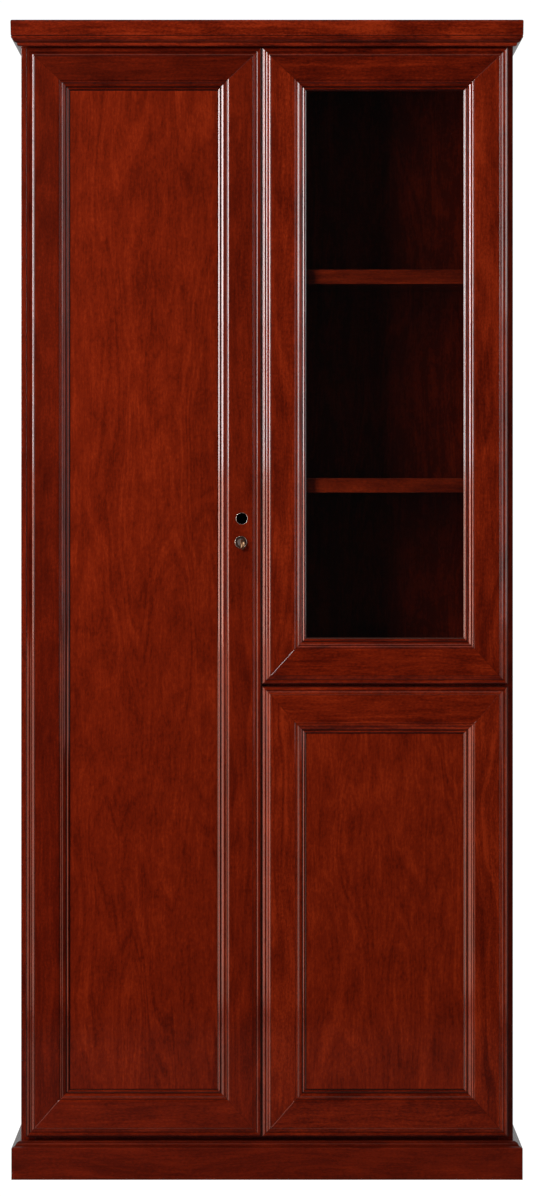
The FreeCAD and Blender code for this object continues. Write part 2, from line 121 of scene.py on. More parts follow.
def grain_group():
    """Wood with its grain along local Z: returns colour, roughness and height."""
    group = bpy.data.node_groups.new("mahogany", "ShaderNodeTree")
    face = group.interface
    face.new_socket("Point", in_out="INPUT", socket_type="NodeSocketVector")
    face.new_socket("Figure", in_out="INPUT", socket_type="NodeSocketFloat")
    face.new_socket("Tone", in_out="INPUT", socket_type="NodeSocketFloat")
    face.new_socket("Contrast", in_out="INPUT", socket_type="NodeSocketFloat")
    face.new_socket("Color", in_out="OUTPUT", socket_type="NodeSocketColor")
    face.new_socket("Roughness", in_out="OUTPUT", socket_type="NodeSocketFloat")
    face.new_socket("Height", in_out="OUTPUT", socket_type="NodeSocketFloat")
    inputs = group.nodes.new("NodeGroupInput")
    outputs = group.nodes.new("NodeGroupOutput")
    split = group.nodes.new("ShaderNodeSeparateXYZ")
    link(group, inputs.outputs["Point"], split.inputs[0])
    x, y, z = split.outputs
    figure = inputs.outputs["Figure"]

    def scaled(value, factor):
        return math_node(group, "MULTIPLY", value, factor)

    def added(a, b):
        return math_node(group, "ADD", a, b)

    def centred(value):
        return math_node(group, "SUBTRACT", value, 0.5)

    # Fibres lean and curl a little; the growth rings show as long arches where the cut meets them
    lean = centred(noise(group, scaled(x, 14.0), scaled(y, 14.0), scaled(z, 4.0), 2.0))
    curl = centred(noise(group, scaled(x, 75.0), scaled(y, 75.0), scaled(z, 32.0), 2.0))
    across = added(x, added(scaled(lean, 0.022), scaled(curl, 0.006)))
    rise = noise(group, scaled(x, 13.0), scaled(y, 13.0), scaled(z, 2.3), 1.5)
    rings = added(scaled(across, 9.0), math_node(group, "MULTIPLY", scaled(rise, 5.0), figure))

    arches = noise(group, scaled(rings, 5.0), scaled(z, 1.2), scaled(y, 9.0), 3.0, 0.5)
    mottle = noise(group, scaled(x, 27.0), scaled(y, 27.0), scaled(z, 12.0), 4.0, 0.6)
    fibres = noise(group, scaled(across, 230.0), scaled(y, 230.0), scaled(z, 13.0), 3.0, 0.6)
    fuzz = noise(group, scaled(across, 380.0), scaled(y, 380.0), scaled(z, 170.0), 2.0, 0.7)
    flecks = noise(group, scaled(across, 60.0), scaled(y, 60.0), scaled(z, 26.0), 2.0, 0.6)
    fleck = math_node(group, "MULTIPLY", math_node(group, "SUBTRACT", flecks, 0.64), 4.0, clamp=True)
    parts = (scaled(centred(mottle), 0.60), scaled(centred(fibres), 0.46), scaled(centred(fuzz), 0.58),
             scaled(fleck, -0.22))
    pattern = scaled(centred(arches), 0.62)
    for part in parts:
        pattern = added(part, pattern)
    pattern = math_node(group, "MULTIPLY", pattern, inputs.outputs["Contrast"])
    total = added(added(pattern, 0.51), inputs.outputs["Tone"])

    ramp = group.nodes.new("ShaderNodeValToRGB")
    stops = ((0.15, (0.024, 0.0012, 0.0002)), (0.40, (0.069, 0.0044, 0.0008)),
             (0.60, (0.123, 0.0088, 0.0016)), (0.85, (0.210, 0.0185, 0.0034)))
    while len(ramp.color_ramp.elements) < len(stops):
        ramp.color_ramp.elements.new(0.5)
    for element, (position, colour) in zip(ramp.color_ramp.elements, stops):
        element.position = position
        element.color = (*colour, 1.0)
    link(group, total, ramp.inputs[0])

    # Pores: thin dark dashes along the grain, filled level by the lacquer
    pores = noise(group, scaled(x, 1500.0), scaled(y, 1500.0), scaled(z, 55.0), 1.0)
    dash = math_node(group, "MULTIPLY", math_node(group, "SUBTRACT", pores, 0.60), 5.0, clamp=True)
    darker = node(group, "ShaderNodeMix", data_type="RGBA", blend_type="MULTIPLY")
    link(group, scaled(dash, 0.55), darker.inputs["Factor"])
    link(group, ramp.outputs[0], darker.inputs[6])
    darker.inputs[7].default_value = (0.25, 0.18, 0.15, 1.0)
    link(group, darker.outputs[2], outputs.inputs["Color"])

    dull = added(0.30, added(scaled(mottle, 0.10), scaled(dash, 0.06)))
    link(group, dull, outputs.inputs["Roughness"])
    link(group, added(scaled(dash, -0.5), scaled(fibres, 0.3)), outputs.inputs["Height"])
    return group


GRAIN = grain_group()
TURN_TO_GRAIN = {"Z": (0, 0, 0), "X": (0, -math.pi / 2, 0), "Y": (math.pi / 2, 0, 0)}
made_woods = 0


def wood(along, figure=1.0, tone=0.0, centre=(0, 0, 0), coat=0.9, contrast=1.0, shine=0.20):
    """Lacquered mahogany with its grain along one axis; each call is a different board."""
    global made_woods
    made_woods += 1
    seed = made_woods
    material, tree, shader = new_material("mahogany_%02d" % seed)
    place = tree.nodes.new("ShaderNodeTexCoord")
    moved = node(tree, "ShaderNodeMapping", vector_type="POINT")
    moved.inputs["Location"].default_value = [-c for c in centre]
    link(tree, place.outputs["Object"], moved.inputs["Vector"])
    turned = node(tree, "ShaderNodeMapping", vector_type="POINT")
    turned.inputs["Rotation"].default_value = TURN_TO_GRAIN[along]
    turned.inputs["Location"].default_value = (0.013 * (seed % 5 - 2), 0.0, 3.7 * seed)
    link(tree, moved.outputs[0], turned.inputs["Vector"])
    grain = tree.nodes.new("ShaderNodeGroup")
    grain.node_tree = GRAIN
    grain.inputs["Figure"].default_value = figure
    grain.inputs["Tone"].default_value = tone
    grain.inputs["Contrast"].default_value = contrast
    link(tree, turned.outputs[0], grain.inputs["Point"])
    # Painted shade: a mesh attribute darkens the colour where shade falls, in the mouldings' quirks, coves
    # and along the panel's edges; along mitre joints it is a dark stain.
    shade_and_stain_mask = node(tree, "ShaderNodeAttribute", attribute_type="GEOMETRY", attribute_name="painted_shade_and_stain")
    toned = node(tree, "ShaderNodeMix", data_type="RGBA", blend_type="MULTIPLY")
    link(tree, shade_and_stain_mask.outputs["Fac"], toned.inputs["Factor"])
    link(tree, grain.outputs["Color"], toned.inputs[6])
    toned.inputs[7].default_value = (0.10, 0.06, 0.05, 1.0)
    link(tree, toned.outputs[2], shader.inputs["Base Color"])
    link(tree, grain.outputs["Roughness"], shader.inputs["Roughness"])
    bump = node(tree, "ShaderNodeBump", Strength=0.25, Distance=0.00008)
    link(tree, grain.outputs["Height"], bump.inputs["Height"])
    link(tree, bump.outputs[0], shader.inputs["Normal"])
    shader.inputs["Specular IOR Level"].default_value = shine
    shader.inputs["Specular Tint"].default_value = (1.0, 0.10, 0.03, 1.0)
    shader.inputs["Coat Weight"].default_value = coat
    shader.inputs["Coat Roughness"].default_value = 0.07
    shader.inputs["Coat IOR"].default_value = 1.5
    return material


# ---------------------------------------------------------------- other materials

def metal(name, colour, roughness, scratch=0.0):
    material, tree, shader = new_material(name)
    shader.inputs["Base Color"].default_value = (*colour, 1.0)
    shader.inputs["Metallic"].default_value = 1.0
    place = tree.nodes.new("ShaderNodeTexCoord")
    marks = node(tree, "ShaderNodeTexNoise", Scale=900.0, Detail=3.0)
    link(tree, place.outputs["Object"], marks.inputs["Vector"])
    spread = node(tree, "ShaderNodeMapRange")
    spread.inputs["To Min"].default_value = roughness - 0.06
    spread.inputs["To Max"].default_value = roughness + 0.10
    link(tree, marks.outputs["Fac"], spread.inputs["Value"])
    link(tree, spread.outputs[0], shader.inputs["Roughness"])
    if scratch:
        bump = node(tree, "ShaderNodeBump", Strength=scratch, Distance=0.0001)
        link(tree, marks.outputs["Fac"], bump.inputs["Height"])
        link(tree, bump.outputs[0], shader.inputs["Normal"])
    return material


def plastic(name, colour, roughness):
    material, tree, shader = new_material(name)
    shader.inputs["Base Color"].default_value = (*colour, 1.0)
    place = tree.nodes.new("ShaderNodeTexCoord")
    stipple = node(tree, "ShaderNodeTexNoise", Scale=2500.0, Detail=2.0)
    link(tree, place.outputs["Object"], stipple.inputs["Vector"])
    spread = node(tree, "ShaderNodeMapRange")
    spread.inputs["To Min"].default_value = roughness - 0.05
    spread.inputs["To Max"].default_value = roughness + 0.08
    link(tree, stipple.outputs["Fac"], spread.inputs["Value"])
    link(tree, spread.outputs[0], shader.inputs["Roughness"])
    bump = node(tree, "ShaderNodeBump", Strength=0.2, Distance=0.00005)
    link(tree, stipple.outputs["Fac"], bump.inputs["Height"])
    link(tree, bump.outputs[0], shader.inputs["Normal"])
    return material


def clear_glass():
    """Float glass seen as clear, with a reflection that grows towards grazing angles."""
    material, tree, shader = new_material("float_glass")
    tree.nodes.remove(shader)
    through = node(tree, "ShaderNodeBsdfTransparent", Color=(0.93, 0.97, 0.95, 1.0))
    mirror = node(tree, "ShaderNodeBsdfGlossy", Color=(1.0, 1.0, 1.0, 1.0), Roughness=0.03)
    angle = node(tree, "ShaderNodeFresnel", IOR=1.45)
    mix = tree.nodes.new("ShaderNodeMixShader")
    link(tree, angle.outputs[0], mix.inputs[0])
    link(tree, through.outputs[0], mix.inputs[1])
    link(tree, mirror.outputs[0], mix.inputs[2])
    link(tree, mix.outputs[0], tree.nodes["Material Output"].inputs[0])
    return material


# ---------------------------------------------------------------- meshes

def arc_points(a, b, c, steps):
    """Points after a on the circle from a through b to c."""
    ax, ay = a
    bx, by = b
    cx, cy = c
    cross = 2 * ((bx - ax) * (cy - ay) - (by - ay) * (cx - ax))
    ab = (bx * bx - ax * ax) + (by * by - ay * ay)
    ac = (cx * cx - ax * ax) + (cy * cy - ay * ay)
    ox = (ab * (cy - ay) - ac * (by - ay)) / cross
    oy = (ac * (bx - ax) - ab * (cx - ax)) / cross
    radius = math.hypot(ax - ox, ay - oy)
    start = math.atan2(ay - oy, ax - ox)
    turn = math.atan2(cy - oy, cx - ox) - start
    way = 1 if cross > 0 else -1
    turn = (way * turn) % (2 * math.pi) * way
    found = []
    for i in range(1, steps + 1):
        angle = start + turn * i / steps
        found.append((ox + radius * math.cos(angle), oy + radius * math.sin(angle)))
    return found


EDGE_STRIP = 0.3


def straight_points(a, b):
    """Points after a on the way to b: a narrow strip at each end keeps the middle's shading flat."""
    length = math.dist(a, b)
    found = []
    if length > 4 * EDGE_STRIP:
        for part in (EDGE_STRIP / length, 1 - EDGE_STRIP / length):
            found.append((a[0] + (b[0] - a[0]) * part, a[1] + (b[1] - a[1]) * part))
    return found + [b]


def section_points(path, steps=8):
    """A closed section's points from a path in which a pair of points is an arc: middle, end."""
    points = [path[0]]
    for step in path[1:]:
        if isinstance(step[0], tuple):
            points += arc_points(points[-1], step[0], step[1], steps)
        else:
            points += straight_points(points[-1], step)
    return points + straight_points(points[-1], points[0])[:-1]


def finish_piece(name, mesh, body, material, nodes, smooth):
    made = bpy.data.objects.new(name, mesh)
    bpy.context.scene.collection.objects.link(made)
    mesh.materials.append(material)
    mesh.shade_smooth()
    mesh.set_sharp_from_angle(angle=math.radians(smooth))
    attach(made, body)
    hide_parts(*nodes)
    return made


def looped_mesh(name, rings, closed=False):
    """A closed skin over rings of points, joined end to end or with a cap at each end."""
    count = len(rings[0])
    vertices = [point for ring in rings for point in ring]
    faces = []
    for r in range(len(rings) if closed else len(rings) - 1):
        here, there = r * count, (r + 1) % len(rings) * count
        for i in range(count):
            k = (i + 1) % count
            faces.append((here + i, here + k, there + k, there + i))
    if not closed:
        faces.append(tuple(reversed(range(count))))
        faces.append(tuple(range((len(rings) - 1) * count, len(rings) * count)))
    mesh = bpy.data.meshes.new(name)
    mesh.from_pydata(vertices, [], faces)
    shape = bmesh.new()
    shape.from_mesh(mesh)
    bmesh.ops.recalc_face_normals(shape, faces=shape.faces)
    shape.to_mesh(mesh)
    shape.free()
    return mesh


def turned_mesh(name, profile, x, z, sides=96):
    """A ring turned about the line along Y at (x, z). The closed profile is (radius, y)."""
    rings = []
    for i in range(sides):
        angle = 2 * math.pi * i / sides
        rings.append([(x + r * math.cos(angle), y, z + r * math.sin(angle)) for r, y in profile])
    return looped_mesh(name, rings, closed=True)


def drilled(mesh, cylinders):
    """The mesh with round holes along Y: each is (x, z, radius, front y, back y)."""
    work = bpy.data.objects.new("work", mesh)
    bpy.context.scene.collection.objects.link(work)
    for x, z, radius, y0, y1 in cylinders:
        bpy.ops.mesh.primitive_cylinder_add(
            vertices=64, radius=radius, depth=y1 - y0,
            location=(x, (y0 + y1) / 2, z), rotation=(math.pi / 2, 0, 0))
        cutter = bpy.context.object
        cut = work.modifiers.new("hole", "BOOLEAN")
        cut.operation = "DIFFERENCE"
        cut.solver = "EXACT"
        cut.object = cutter
        view = bpy.context.evaluated_depsgraph_get()
        result = bpy.data.meshes.new_from_object(work.evaluated_get(view))
        work.modifiers.clear()
        work.data = result
        bpy.data.objects.remove(cutter)
    result = work.data
    bpy.data.objects.remove(work)
    return result


# ---------------------------------------------------------------- mouldings

# In mm: how far from a mitre line its faces start to dip, how deep the front of an open joint dips,
# and how far behind the door's front the joint is tight again
MITRE_EASE = 0.5
MITRE_SINK = 0.10
OPEN_UNTIL_DEPTH = 0.6
# How much darker the stain lies along a mitre line
MITRE_STAIN = 0.9
# Degrees between faces up to which mouldings, or turned metal, are shaded smooth
SMOOTH = 12.5
SMOOTH_METAL = 60


def tight_joint(u, d):
    return (0, 0)


def open_joint(u, d):
    return (0, MITRE_SINK * max(0.0, 1 - d / OPEN_UNTIL_DEPTH))


def run_rings(section, place, starts, ends, start_sink, end_sink):
    """Rings of one mitred length. place(u, d, along) gives a point; starts and ends are along(u).

    Each sink gives how far a point of that end's joint line lies below the section, as (u, d).
    """
    rings = []
    steps = (0, MITRE_EASE, MITRE_EASE + EDGE_STRIP)
    near = [(starts, s, start_sink) for s in steps]
    far = [(ends, -s, end_sink) for s in reversed(steps)]
    for limit, step, sink in near + far:
        ring = []
        for u, d in section:
            along = limit(u) + step
            du, dd = (0, 0) if step else sink(u, d)
            ring.append(place(u + du, d + dd, along))
        rings.append(ring)
    return rings


def painted_shade_depths(places, quirks):
    """How much painted shade darkens each place, standing in for the shade in the section's quirks and
    hollows: each quirk is start, full, full, end and amount.
    """
    found = []
    for place in places:
        most = 0.0
        for start, full, last, end, amount in quirks:
            rise = (place - start) / (full - start)
            fall = (end - place) / (end - last)
            most = max(most, amount * min(1.0, max(0.0, min(rise, fall))))
        found.append(most)
    return found


def painted_shade_and_stain(mesh, depths):
    """Stores the section's painted shade at every ring of a swept mesh, and a dark stain along the mitre
    joints.
    """
    layer = mesh.attributes.new("painted_shade_and_stain", "FLOAT", "POINT")
    for i, point in enumerate(layer.data):
        at_mitre = i < len(depths) or i >= len(layer.data) - len(depths)
        point.value = max(depths[i % len(depths)], MITRE_STAIN if at_mitre else 0.0)
    return mesh


def round_moulding(name, section, wood_tone, quirks, contrast=1.0):
    """Front and side lengths of the cornice or the plinth. The section is (out, up)."""
    # Painted shade in the section's coves and quirks.
    depths = painted_shade_depths([up for out, up in section], quirks)
    low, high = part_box(name + "_front")
    side_low, side_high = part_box(name + "_left")
    out = (side_high.x - side_low.x) / MM
    half = high.x / MM - out
    face = low.y / MM + out
    back = side_high.y / MM

    def front_place(u, d, along):
        return Vector((along, face - u, d)) * MM

    rings = run_rings(section, front_place, lambda u: -half - u, lambda u: half + u, tight_joint, tight_joint)
    material = wood("X", 0.5, wood_tone, (0, low.y, low.z), contrast=contrast)
    mesh = painted_shade_and_stain(looped_mesh(name, rings), depths)
    finish_piece(name + "_front_wood", mesh, "carcass", material, [name + "_front"], SMOOTH)
    for side, label in ((-1, "left"), (1, "right")):
        def side_place(u, d, along, side=side):
            return Vector((side * (half + u), along, d)) * MM
        rings = run_rings(section, side_place, lambda u: face - u, lambda u: back, tight_joint, tight_joint)
        material = wood("Y", 0.5, wood_tone, (side * high.x, 0, low.z))
        mesh = painted_shade_and_stain(looped_mesh(name, rings), depths)
        piece = name + "_" + label
        finish_piece(piece + "_wood", mesh, "carcass", material, [piece], SMOOTH)


def build_cornice():
    low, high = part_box("cornice_front")
    z, top = low.z / MM, high.z / MM
    out = (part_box("cornice_left")[1].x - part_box("cornice_left")[0].x) / MM
    path = [
        (0, z),
        (2.9, z),
        ((5.2, z + 1.4), (5.9, z + 4.2)),
        ((5.8, z + 5.0), (6.2, z + 5.5)),
        (6.7, z + 5.7),
        ((11.2, z + 8.2), (13.3, z + 12.9)),
        (13.9, z + 13.3),
        ((15.9, z + 15.2), (14.7, z + 17.3)),
        (15.1, z + 17.9),
        ((16.0, z + 18.3), (16.2, z + 19.3)),
        (out, top - 3.2),
        ((out - 0.9, top - 0.9), (out - 3.2, top)),
        (0, top),
    ]
    # Painted shade in the cove under the cornice's face and in the quirk below it.
    quirks = ((z + 4.8, z + 7.0, z + 11.0, z + 13.1, 0.6), (z + 16.9, z + 17.4, z + 18.0, z + 18.6, 0.9))
    round_moulding("cornice", section_points(path), 0.03, quirks, 1.6)


def build_plinth():
    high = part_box("plinth_front")[1]
    top = high.z / MM
    out = (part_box("plinth_left")[1].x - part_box("plinth_left")[0].x) / MM
    path = [
        (0, 0),
        (out - 0.8, 0),
        ((out - 0.2, 0.2), (out, 0.8)),
        (out, 53.4),
        ((out - 0.2, 54.3), (out - 0.9, 54.8)),
        (out - 1.2, 55.6),
        ((10.4, 57.2), (7.8, 60.0)),
        ((6.2, 62.8), (2.9, top - 0.8)),
        ((2.5, top - 0.2), (1.9, top)),
        (0, top),
    ]
    # Painted shade on the plinth's top moulding, under the doors.
    quirks = ((54.6, 55.4, top - 1, top, 0.35),)
    round_moulding("plinth", section_points(path), -0.05, quirks, 0.8)


# ---------------------------------------------------------------- door frames

# Widths in mm of the reeds along a member's outer edge and of the ogee along its inner one
OUTER = 15.4
INNER = 21.5
# How much lighter than the rest each board of a door is: partly each board's own tone, partly painted light,
# with the lower door's boards lighter and the top rails darker to stand in for the light falling off low down
BOARD_TONES_AND_PAINTED_LIGHT = {
    "left_door": {
        "hinge_stile": -0.13, "free_stile": 0.0, "bottom_rail": 0.03, "top_rail": -0.23, "panel": 0.05},
    "glass_door": {
        "hinge_stile": 0.06, "free_stile": 0.07, "bottom_rail": 0.02, "top_rail": -0.11},
    "lower_door": {
        "hinge_stile": 0.09, "free_stile": 0.11, "bottom_rail": -0.04, "top_rail": 0.06, "panel": 0.09},
}
BOARD_CONTRAST = {"left_door": 0.95, "glass_door": 1.2, "lower_door": 1.2}


def member_section(e, thick, glazed):
    """Section of a frame member e wide in mm: u runs in from the door's edge, d back from its front.

    Three reeds along the outer edge, a quirk, the flat, then a stepped ogee down to the panel.
    """
    path = [
        (0.3, thick),
        ((0.1, thick - 0.1), (0, thick - 0.3)),
        (0, 3.4),
        ((0.2, 2.6), (0.8, 2.28)),
        (1.5, 2.34),
        ((3.0, 1.86), (4.4, 1.42)),
        ((6.0, 1.55), (7.5, 1.80)),
        ((9.0, 1.35), (10.5, 0.81)),
        ((12.5, 0.61), (14.2, 0.12)),
        (14.9, 0.50),
        (OUTER, 0),
        (e - INNER, 0),
        ((e - 20.0, 0.12), (e - 18.2, 0.46)),
        (e - 17.7, 0.90),
        (e - 16.5, 0.30),
        (e - 15.8, 0.25),
        ((e - 14.6, 0.70), (e - 13.5, 1.20)),
        (e - 12.9, 1.03),
        ((e - 11.0, 1.85), (e - 8.4, 2.56)),
        (e - 7.2, 2.80),
        (e - 5.6, 5.0),
        (e - 5.2, 5.20),
        (e - 3.9, 4.80),
        ((e - 2.8, 5.05), (e - 1.7, 5.35)),
        ((e - 1.4, 5.7), (e - 1.3, 6.4)),
        (e - 1.3, 9.3),
        (e, 9.8),
        (e, 10.0),
        (e - 10.0, 10.0),
    ]
    if glazed:
        path += [(e - 10.0, thick)]
    else:
        path += [(e - 10.0, 18.0), (e, 18.0), (e, thick - 0.3), (e - 0.3, thick)]
    return section_points(path)


def member_quirks(e):
    """Where painted shade darkens a member e wide, as start, full, full, end and amount: along its outer
    edge, in its quirks, in its ogee and along the panel's edge.
    """
    return (
        (-2.0, -1.0, 1.6, 2.4, 0.9),
        (6.3, 7.2, 8.0, 9.2, 0.7),
        (14.1, 14.7, 15.0, 15.5, 0.8),
        (e - 18.4, e - 18.0, e - 17.4, e - 16.9, 0.7),
        (e - 14.0, e - 13.3, e - 12.7, e - 11.5, 0.6),
        (e - 8.4, e - 7.0, e - 5.2, e - 4.4, 0.85),
        (e - 3.0, e - 1.6, e, e + 1, 0.95),
    )


def stretch(value, from_width, to_width):
    """A place across one member, carried to the member it meets: only the flat changes width."""
    if value <= OUTER:
        return value
    flat_from, flat_to = from_width - INNER, to_width - INNER
    if value >= flat_from:
        return value + to_width - from_width
    return OUTER + (value - OUTER) * (flat_to - OUTER) / (flat_from - OUTER)


def build_door_frame(door):
    """Two stiles and two rails, mitred, for one door."""
    hinge_low, hinge_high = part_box(door + "_hinge_stile")
    free_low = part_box(door + "_free_stile")[0]
    rail_low, rail_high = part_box(door + "_bottom_rail")
    head_low, head_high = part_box(door + "_top_rail")
    x0, x1 = rail_low.x / MM, rail_high.x / MM
    z0, z1 = rail_low.z / MM, head_high.z / MM
    front, back = rail_low.y / MM, rail_high.y / MM
    stile = (hinge_high.x - hinge_low.x) / MM
    low_width = (rail_high.z - rail_low.z) / MM
    head_width = (head_high.z - head_low.z) / MM

    def build_member(label, width, place, limits, open_first, grain, centre):
        """One mitred member. Of its two joints the first or the last stands slightly open."""
        section = member_section(width, back - front, door == "glass_door")
        joints = (open_joint, tight_joint) if open_first else (tight_joint, open_joint)
        name = door + "_" + label
        mesh = looped_mesh(name, run_rings(section, place, *limits, *joints))
        # Painted shade in the member's quirks and along its edges; a dark stain along the mitres.
        mesh = painted_shade_and_stain(mesh, painted_shade_depths([u for u, d in section], member_quirks(width)))
        holes = member_holes(door, label, front, back)
        if holes:
            mesh = drilled(mesh, holes)
        centre = [c * MM for c in centre]
        material = wood(grain, 0.55, BOARD_TONES_AND_PAINTED_LIGHT[door][label], centre, contrast=BOARD_CONTRAST[door])
        finish_piece(name + "_wood", mesh, door, material, [name], SMOOTH)

    hinge_at_left = hinge_low.x < free_low.x
    for at_left, edge, way in ((True, x0, 1), (False, x1, -1)):
        def stile_place(u, d, along, edge=edge, way=way):
            return Vector((edge + way * u, front + d, along)) * MM

        limits = (lambda u: z0 + stretch(u, stile, low_width), lambda u: z1 - stretch(u, stile, head_width))
        label = "hinge_stile" if at_left == hinge_at_left else "free_stile"
        centre = (edge + way * stile / 2, front, 0)
        build_member(label, stile, stile_place, limits, at_left, "Z", centre)

    for label, edge, way, width in (("bottom_rail", z0, 1, low_width), ("top_rail", z1, -1, head_width)):
        def rail_place(u, d, along, edge=edge, way=way):
            return Vector((along, front + d, edge + way * u)) * MM

        limits = (lambda u: x0 + stretch(u, width, stile), lambda u: x1 - stretch(u, width, stile))
        centre = (x0, front, edge + way * width / 2)
        build_member(label, width, rail_place, limits, way > 0, "X", centre)


CUP_RADIUS = 17.5 * MM
CUP_FROM_EDGE = 3.2 * MM
CUPS_APART = 50 * MM
# In mm: the lock's bore, and how far a cutter runs past the back of the wood
LOCK_BARREL_RADIUS = 9.0
THROUGH = 1.0


def member_holes(door, label, front, back):
    """Holes in one member, as drilled takes them: cup recesses, or the finger hole and the lock's bore."""
    end = (back + THROUGH) * MM
    if label == "hinge_stile":
        return [(x, z, CUP_RADIUS, y, end) for x, y, z in hinge_cup_places(door)]
    if (door, label) != ("left_door", "free_stile"):
        return []
    holes = []
    for name in ("finger_ring", "lock_nut"):
        low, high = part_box(name)
        x, z = (low.x + high.x) / 2, (low.z + high.z) / 2
        radius = (high.z - low.z) / 2 if name == "finger_ring" else LOCK_BARREL_RADIUS * MM
        holes.append((x, z, radius, (front - 2 * THROUGH) * MM, end))
    return holes


def hinge_cup_places(door):
    """Centre of each cup's front face, from the heights where the door's cups have vertices."""
    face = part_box(door + "_hinge_cups")[0].y
    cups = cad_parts[door + "_hinge_cups"]
    groups = []
    for z in sorted(vertex.co.z for vertex in cups.data.vertices):
        if not groups or z - groups[-1][-1] > CUPS_APART:
            groups.append([z])
        else:
            groups[-1].append(z)
    low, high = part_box(door + "_hinge_stile")
    if door == "left_door":
        centre = low.x + CUP_FROM_EDGE + CUP_RADIUS
    else:
        centre = high.x - CUP_FROM_EDGE - CUP_RADIUS
    return [(centre, face, (group[0] + group[-1]) / 2) for group in groups]


# ---------------------------------------------------------------- CAD nodes that stay

EDGE_EASE = 0.8 * MM


def dress(name, material, bevel=0.0):
    """A CAD node keeps its shape; its edges are eased and it gets a finish."""
    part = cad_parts[name]
    part.data.materials.clear()
    part.data.materials.append(material)
    if bevel:
        weld = part.modifiers.new("weld", "WELD")
        weld.merge_threshold = 0.00001
        ease = part.modifiers.new("ease", "BEVEL")
        ease.width = bevel
        ease.segments = 2
        ease.limit_method = "ANGLE"
        ease.angle_limit = math.radians(40)
        ease.harden_normals = True


def dress_boards():
    """Boards drilled for shelf pins keep crisp edges. The top board is bare wood."""
    for name, bevel in (("side_panel_left", EDGE_EASE), ("side_panel_right", 0.0), ("centre_partition", 0.0)):
        low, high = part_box(name)
        dress(name, wood("Z", 1.0, -0.03, (low + high) / 2), bevel)
    level = ("floor_board", "ceiling_board", "middle_deck", "top_board", "shelf_high", "shelf_low",
             "shelf_cupboard", "shelf_hat", "cornice_backing", "plinth_backing", "plinth_back_rail")
    for name in level:
        low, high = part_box(name)
        finish = {"coat": 0.0, "shine": 0.03} if name == "top_board" else {}
        dress(name, wood("X", 0.9, -0.03, (low + high) / 2, **finish), EDGE_EASE)
    for name in ("back_panel_left", "back_panel_right"):
        low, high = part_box(name)
        dress(name, wood("Z", 1.0, -0.30, (low + high) / 2, coat=0.2))


def dress_doors():
    for door in ("left_door", "lower_door"):
        low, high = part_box(door + "_panel")
        dress(door + "_panel", wood("Z", 1.0, BOARD_TONES_AND_PAINTED_LIGHT[door]["panel"], (low + high) / 2, contrast=0.85))
    dress("glass_door_pane", clear_glass())
    low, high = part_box("glass_door_beads")
    dress("glass_door_beads", wood("Z", 0.5, -0.02, (low + high) / 2))


def build_ring_and_lock():
    """The finger hole's liner and the lock's bezel, turned with rounded lips."""
    # The seat inside the lock's rim is steel painted near black, standing in for the shade in the bezel's
    # recess.
    shaded_seat_metal = metal("seat_steel_painted_shade", (0.045, 0.028, 0.022), 0.36)
    worn_steel = metal("worn_steel", (0.42, 0.37, 0.33), 0.24)
    low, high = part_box("finger_ring")
    front, back = low.y / MM, high.y / MM
    outer, wall = (high.z - low.z) / 2 / MM, 0.8
    bore = outer - wall
    profile = section_points([
        (outer, front + 1.0),
        ((outer - 0.12, front + 0.12), (outer - 0.45, front)),
        ((bore + 0.05, front + 0.25), (bore, front + 1.2)),
        (bore, back),
        (outer, back),
    ], 6)
    x, z = (low.x + high.x) / 2, (low.z + high.z) / 2
    mesh = turned_mesh("finger_ring", [(r * MM, y * MM) for r, y in profile], x, z)
    finish_piece(
        "finger_ring_liner", mesh, "left_door", worn_steel, ["finger_ring"], SMOOTH_METAL)

    low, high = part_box("lock_housing")
    front, back = low.y / MM, high.y / MM
    outer = (high.x - low.x) / 2 / MM
    x, z = (low.x + high.x) / 2, (low.z + high.z) / 2
    plug_low, plug_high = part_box("lock_plug")
    bore = (plug_high.x - plug_low.x) / 2 / MM + 0.05
    rim = section_points([
        (outer, front + 2.2),
        (outer, front + 0.6),
        ((outer - 0.15, front + 0.15), (outer - 0.55, front)),
        ((outer - 0.95, front + 0.2), (outer - 1.1, front + 0.7)),
        (outer - 1.1, front + 2.2),
    ], 6)
    mesh = turned_mesh("lock_rim", [(r * MM, y * MM) for r, y in rim], x, z)
    finish_piece("lock_rim", mesh, "left_door", worn_steel, ["lock_housing"], SMOOTH_METAL)
    seat = section_points([
        (outer - 1.1, front + 2.2),
        (outer - 1.1, front + 1.1),
        ((outer - 1.9, front + 1.5), (outer - 2.9, front + 1.6)),
        (bore + 0.3, front + 1.6),
        (bore, front + 1.9),
        (bore, back),
        (LOCK_BARREL_RADIUS, back),
        (LOCK_BARREL_RADIUS, front + 2.2),
    ], 6)
    mesh = turned_mesh("lock_seat", [(r * MM, y * MM) for r, y in seat], x, z)
    finish_piece("lock_seat", mesh, "left_door", shaded_seat_metal, ["lock_housing"], SMOOTH_METAL)


